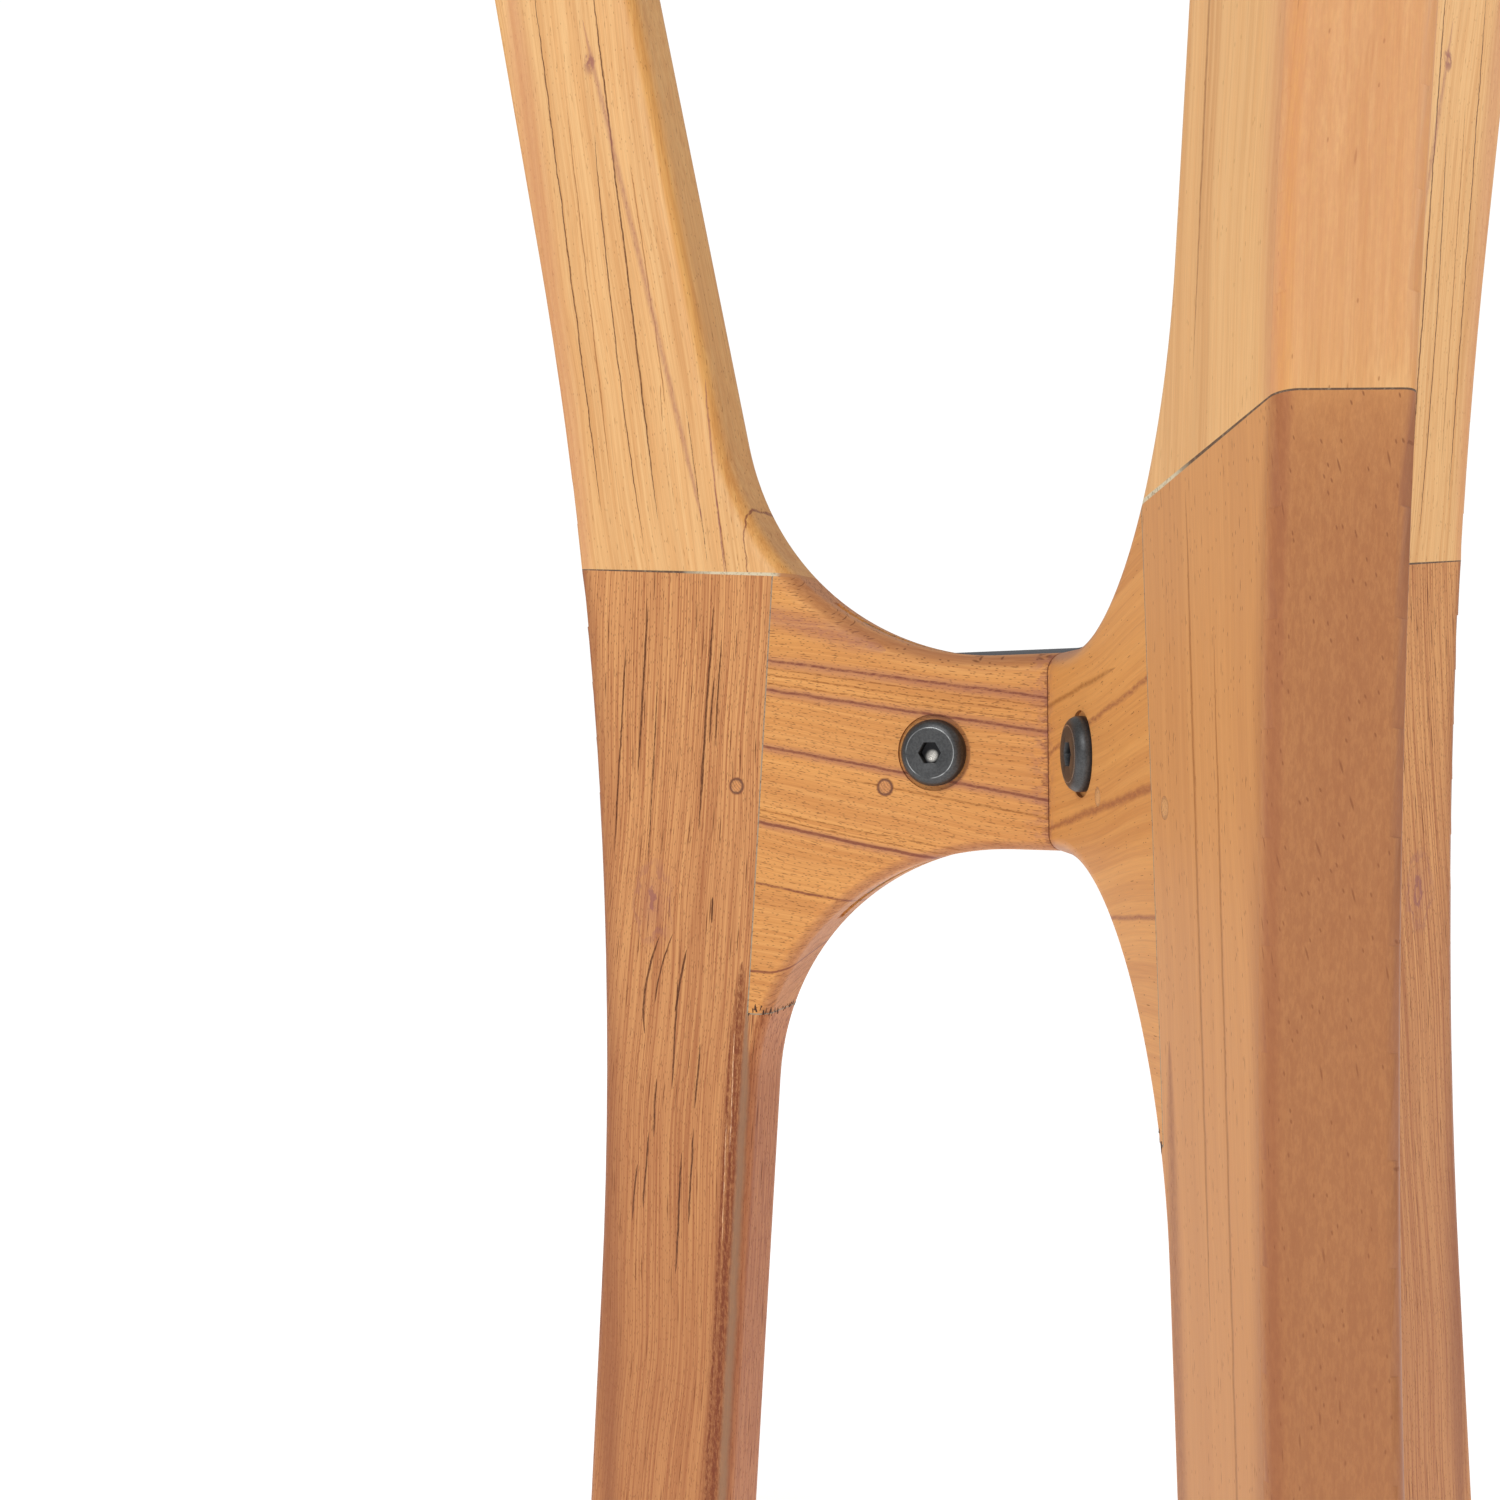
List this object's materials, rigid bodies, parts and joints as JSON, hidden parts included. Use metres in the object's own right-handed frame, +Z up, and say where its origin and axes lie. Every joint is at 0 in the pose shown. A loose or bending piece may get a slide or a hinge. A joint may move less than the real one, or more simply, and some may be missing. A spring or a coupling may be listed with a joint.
{
  "type": "tripod table base",
  "caption": "Splayed teak leg base: leg boards with mitred arms meeting round a steel spider hub, clamped by recessed connector bolts.",
  "frame": {"origin": "centre of the circle of threaded inserts, in the plane of the leg tops, on the axis of the base; the floor is 0.45 m below it", "axes": "+Z up along the axis of the base; leg 1 points to -Y, leg 2 to 30 degrees from +X towards +Y and leg 3 to 150 degrees"},
  "size_m": [0.2942, 0.2556, 0.45],
  "materials": {
    "teak_light": "light golden teak with long dark growth lines, satin varnish",
    "teak_brown": "darker brown teak with open pores along the grain, satin varnish",
    "teak_orange": "orange teak, grain along the arm with red-brown growth lines, satin varnish",
    "tenon_wood": "plain unfinished hardwood tenon",
    "pin_wood": "wood pin, end grain showing",
    "filler_pale": "pale hard filler in the butt joint",
    "glue_grey": "grey cured glue line",
    "black_oxide_steel": "black oxide on steel, worn bright at the edges",
    "spider_steel": "dark blue-grey coated steel plate",
    "insert_brass": "plain machined brass",
    "glide_nylon": "dark nylon glide",
    "screw_zinc": "zinc-plated screw"
  },
  "bodies": {
    "root": {"hub_spider": "spider_steel", "upper_leg_1": "teak_light", "lower_leg_1": "teak_brown", "arm_block_1": "teak_orange", "joint_filler_1": "filler_pale", "knee_glue_1": "glue_grey", "leg_tenon_1": "tenon_wood", "knee_tenon_1": "tenon_wood", "arm_pin_1": "pin_wood", "leg_pin_1": "pin_wood", "connector_bolt_1": "black_oxide_steel", "cap_nut_1": "black_oxide_steel", "top_insert_1": "insert_brass", "foot_glide_1": "glide_nylon", "glide_screw_1": "screw_zinc", "upper_leg_2": "teak_light", "lower_leg_2": "teak_brown", "arm_block_2": "teak_orange", "joint_filler_2": "filler_pale", "knee_glue_2": "glue_grey", "leg_tenon_2": "tenon_wood", "knee_tenon_2": "tenon_wood", "arm_pin_2": "pin_wood", "leg_pin_2": "pin_wood", "connector_bolt_2": "black_oxide_steel", "cap_nut_2": "black_oxide_steel", "top_insert_2": "insert_brass", "foot_glide_2": "glide_nylon", "glide_screw_2": "screw_zinc", "upper_leg_3": "teak_light", "lower_leg_3": "teak_brown", "arm_block_3": "teak_orange", "joint_filler_3": "filler_pale", "knee_glue_3": "glue_grey", "leg_tenon_3": "tenon_wood", "knee_tenon_3": "tenon_wood", "arm_pin_3": "pin_wood", "leg_pin_3": "pin_wood", "connector_bolt_3": "black_oxide_steel", "cap_nut_3": "black_oxide_steel", "top_insert_3": "insert_brass", "foot_glide_3": "glide_nylon", "glide_screw_3": "screw_zinc"}
  },
  "joints": []
}
